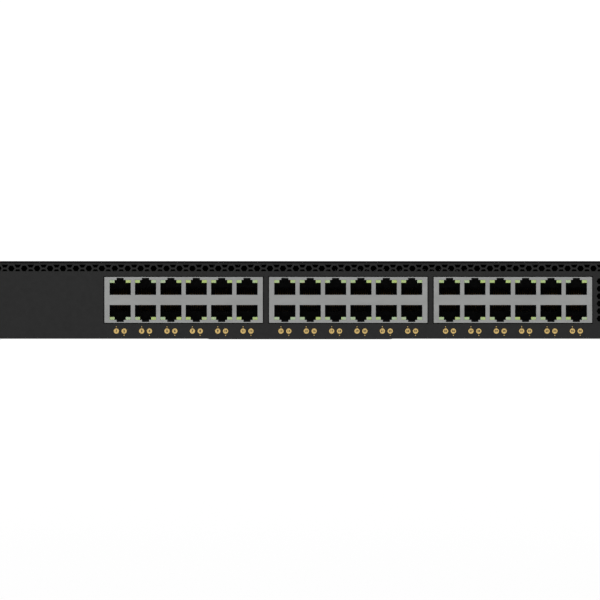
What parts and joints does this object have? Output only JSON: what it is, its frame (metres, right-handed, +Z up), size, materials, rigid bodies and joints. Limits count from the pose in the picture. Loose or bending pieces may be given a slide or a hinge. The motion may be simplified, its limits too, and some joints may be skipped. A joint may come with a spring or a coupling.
{
  "type": "rackmount network switch",
  "caption": "Flat rack-mount switch with stacked rows of network sockets on a vented dark steel front, rack ears, rear fans and two pull-out power supplies.",
  "frame": {"origin": "centre of the footprint, at the underside of the base", "axes": "+X runs along the front panel to the right seen from the front, +Y points from the front panel to the rear, +Z is up"},
  "size_m": [0.4826, 0.429, 0.0435],
  "materials": {
    "panel_paint": "fine-textured dark grey powder coat",
    "chassis_paint": "fine-textured near-black powder coat",
    "nickel_shell": "satin nickel plate",
    "black_plastic": "moulded, fine matt texture",
    "zinc_sheet": "zinc-plated steel sheet",
    "circuit_board": "green solder mask",
    "aluminium": "extruded, clear anodised",
    "chip": "moulded epoxy",
    "light_pipe": "clear tinted acrylic",
    "latch_plastic": "moulded green nylon",
    "screw_steel": "zinc-plated steel",
    "port_lamp": "frosted yellow-green lens",
    "contact_gold": "gold-plated contact",
    "port_mark": "printed pale gold disc",
    "mark_ink": "printed dark figures"
  },
  "bodies": {
    "chassis": {"chassis_base": "chassis_paint", "top_cover": "chassis_paint", "front_panel": "panel_paint", "rack_ear_left": "panel_paint", "rack_ear_right": "panel_paint", "psu_bay_frame": "chassis_paint", "air_baffle": "chassis_paint", "ear_screw_left_1": "screw_steel", "ear_screw_left_2": "screw_steel", "ear_screw_left_3": "screw_steel", "ear_screw_left_4": "screw_steel", "ear_screw_right_1": "screw_steel", "ear_screw_right_2": "screw_steel", "ear_screw_right_3": "screw_steel", "ear_screw_right_4": "screw_steel", "jack_shield_a": "nickel_shell", "jack_housing_a": "black_plastic", "phy_heatsink_a": "aluminium", "jack_shield_b": "nickel_shell", "jack_housing_b": "black_plastic", "phy_heatsink_b": "aluminium", "jack_shield_c": "nickel_shell", "jack_housing_c": "black_plastic", "phy_heatsink_c": "aluminium", "management_jack_shield": "nickel_shell", "usb_a_port": "nickel_shell", "usb_c_port": "nickel_shell", "sfp_cage": "nickel_shell", "management_jack_housing": "black_plastic", "reset_switch": "black_plastic", "indicator_board": "circuit_board", "main_board": "circuit_board", "cpu_module": "circuit_board", "power_backplane": "circuit_board", "status_light_pipe": "light_pipe", "switch_chip": "chip", "switch_heatsink": "aluminium", "fan_frame_1": "black_plastic", "fan_frame_2": "black_plastic", "fan_frame_3": "black_plastic", "ground_screw": "screw_steel"},
    "fan_1": {"fan_rotor_1": "black_plastic"},
    "fan_2": {"fan_rotor_2": "black_plastic"},
    "fan_3": {"fan_rotor_3": "black_plastic"},
    "psu_a": {"psu_a_case": "zinc_sheet", "psu_a_board": "circuit_board", "psu_a_inlet": "black_plastic", "psu_a_fan_frame": "black_plastic", "psu_a_handle": "black_plastic"},
    "psu_a_fan": {"psu_a_fan_rotor": "black_plastic"},
    "psu_a_latch": {"psu_a_latch": "latch_plastic"},
    "psu_b": {"psu_b_case": "zinc_sheet", "psu_b_board": "circuit_board", "psu_b_inlet": "black_plastic", "psu_b_fan_frame": "black_plastic", "psu_b_handle": "black_plastic"},
    "psu_b_fan": {"psu_b_fan_rotor": "black_plastic"},
    "psu_b_latch": {"psu_b_latch": "latch_plastic"},
    "reset": {"reset_button": "black_plastic"}
  },
  "joints": [
    {"name": "fan_1_spin", "type": "hinge", "parent": "chassis", "child": "fan_1", "pos_m": [-0.014, 0.169, 0.0216], "axis": [0, 1, 0], "continuous": true},
    {"name": "fan_2_spin", "type": "hinge", "parent": "chassis", "child": "fan_2", "pos_m": [0.07, 0.169, 0.0216], "axis": [0, 1, 0], "continuous": true},
    {"name": "fan_3_spin", "type": "hinge", "parent": "chassis", "child": "fan_3", "pos_m": [0.154, 0.169, 0.0216], "axis": [0, 1, 0], "continuous": true},
    {"name": "psu_a_slide", "type": "slide", "parent": "chassis", "child": "psu_a", "axis": [0, 1, 0], "range_m": [0, 0.24]},
    {"name": "psu_a_fan_spin", "type": "hinge", "parent": "psu_a", "child": "psu_a_fan", "pos_m": [-0.19615, 0.171, 0.0215], "axis": [0, 1, 0], "continuous": true},
    {"name": "psu_a_latch_press", "type": "hinge", "parent": "psu_a", "child": "psu_a_latch", "pos_m": [-0.1459, 0.159, 0.0215], "axis": [0, 0, 1], "range_deg": [0, 4], "stiffness_Nm_per_rad": 1.5, "springref_deg": -1.15},
    {"name": "psu_b_slide", "type": "slide", "parent": "chassis", "child": "psu_b", "axis": [0, 1, 0], "range_m": [0, 0.24]},
    {"name": "psu_b_fan_spin", "type": "hinge", "parent": "psu_b", "child": "psu_b_fan", "pos_m": [-0.1204, 0.171, 0.0215], "axis": [0, 1, 0], "continuous": true},
    {"name": "psu_b_latch_press", "type": "hinge", "parent": "psu_b", "child": "psu_b_latch", "pos_m": [-0.07015, 0.159, 0.0215], "axis": [0, 0, 1], "range_deg": [0, 4], "stiffness_Nm_per_rad": 1.5, "springref_deg": -1.15},
    {"name": "reset_press", "type": "slide", "parent": "chassis", "child": "reset", "axis": [0, 1, 0], "range_m": [0, 0.0004], "stiffness_N_per_m": 800, "springref_m": -0.0002}
  ]
}
